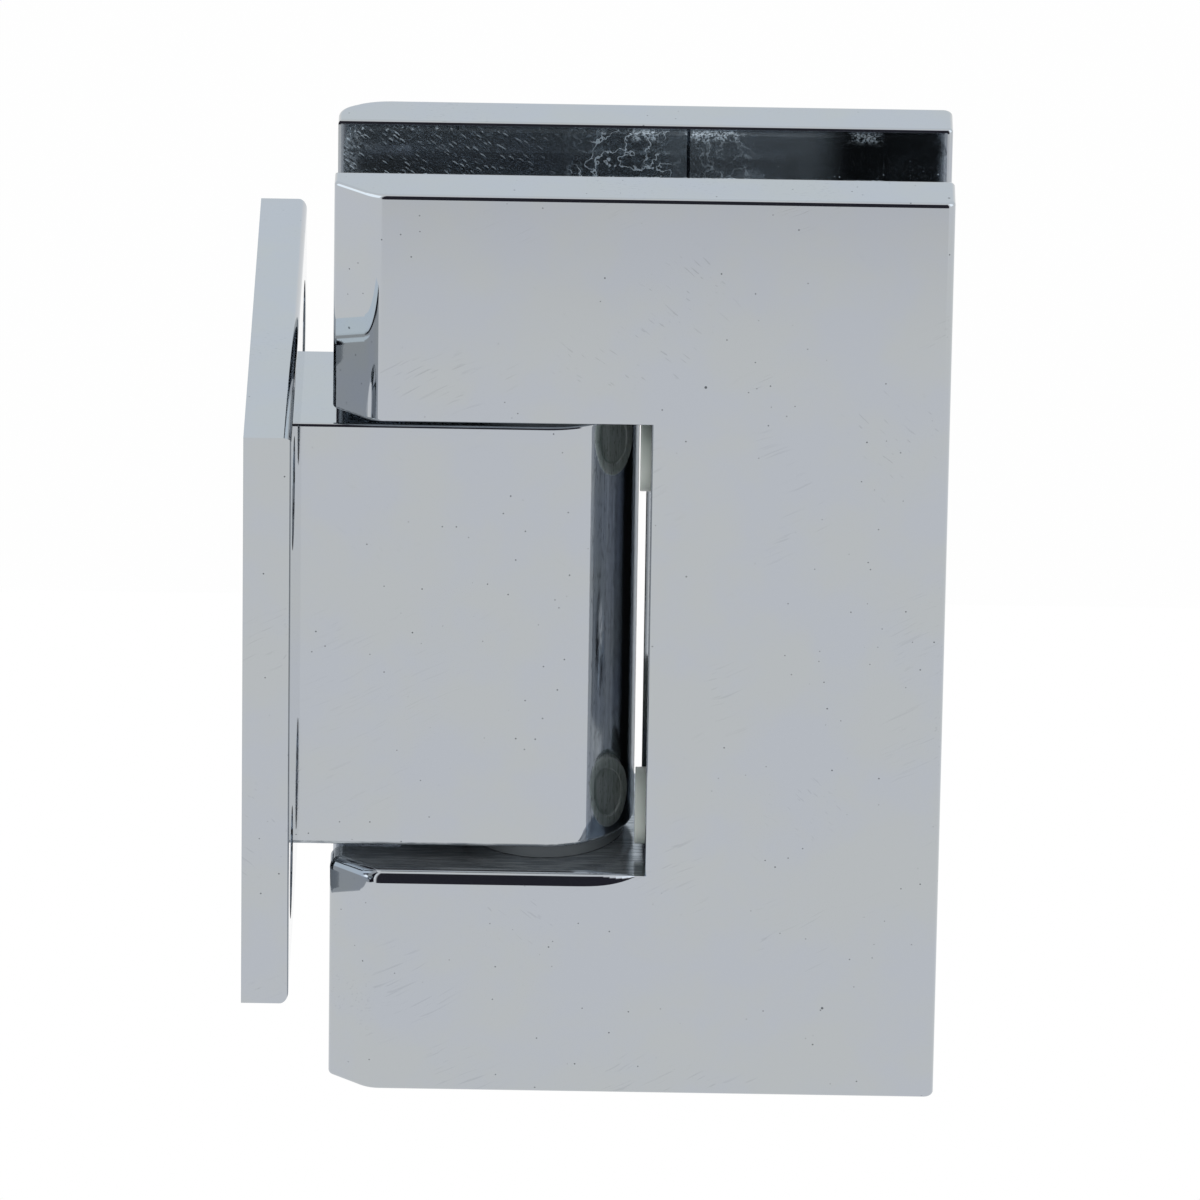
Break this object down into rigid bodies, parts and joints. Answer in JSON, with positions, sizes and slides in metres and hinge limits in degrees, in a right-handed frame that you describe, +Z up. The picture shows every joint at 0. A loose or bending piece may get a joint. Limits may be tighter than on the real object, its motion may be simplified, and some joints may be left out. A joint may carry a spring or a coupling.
{
  "type": "glass door hinge",
  "caption": "Wall-to-glass shower door hinge: a wall plate with a flat-sided knuckle, and a C-shaped two-plate clamp that grips the glass and turns on an upright pin.",
  "frame": {"origin": "middle of the wall plate's back face, which lies on the wall", "axes": "+X from the wall into the room, +Z up along the pivot pin, +Y to the rear of the closed door; the door is closed at joint value 0"},
  "size_m": [0.0638, 0.0554, 0.09],
  "materials": {
    "chrome": "polished chrome plate on brass, with faint polishing lines and fine specks",
    "stainless": "turned stainless steel",
    "nylon": "smooth grey nylon",
    "polyurethane": "amber polyurethane",
    "silicone": "translucent grey-green silicone",
    "clear_pvc": "clear soft PVC sheet, wetted to the chrome with trapped bubbles"
  },
  "bodies": {
    "wall_mount": {"wall_plate": "chrome", "knuckle": "chrome", "knuckle_screw_upper": "stainless", "knuckle_screw_lower": "stainless", "flanged_bush_upper": "nylon", "flanged_bush_lower": "nylon", "detent_pad_upper": "polyurethane", "detent_pad_lower": "polyurethane", "detent_screw_upper": "stainless", "detent_screw_lower": "stainless"},
    "glass_clamp": {"front_plate": "chrome", "rear_plate": "chrome", "pivot_block_upper": "chrome", "pivot_block_lower": "chrome", "pivot_pin": "stainless", "pin_set_screw_upper": "stainless", "pin_set_screw_lower": "stainless", "block_screw_upper_left": "stainless", "block_screw_upper_right": "stainless", "block_screw_lower_left": "stainless", "block_screw_lower_right": "stainless", "clamp_screw_upper": "stainless", "clamp_screw_lower": "stainless", "bumper_upper": "silicone", "bumper_lower": "silicone", "front_gasket_upper": "clear_pvc", "front_gasket_lower": "clear_pvc", "front_gasket_side": "clear_pvc", "rear_gasket_upper": "clear_pvc", "rear_gasket_lower": "clear_pvc", "rear_gasket_side": "clear_pvc"}
  },
  "joints": [
    {"name": "door_swing", "type": "hinge", "parent": "wall_mount", "child": "glass_clamp", "pos_m": [0.0272, 0, 0], "axis": [0, 0, 1], "range_deg": [-90, 90], "deforming": ["detent_pad_upper", "detent_pad_lower"]}
  ]
}
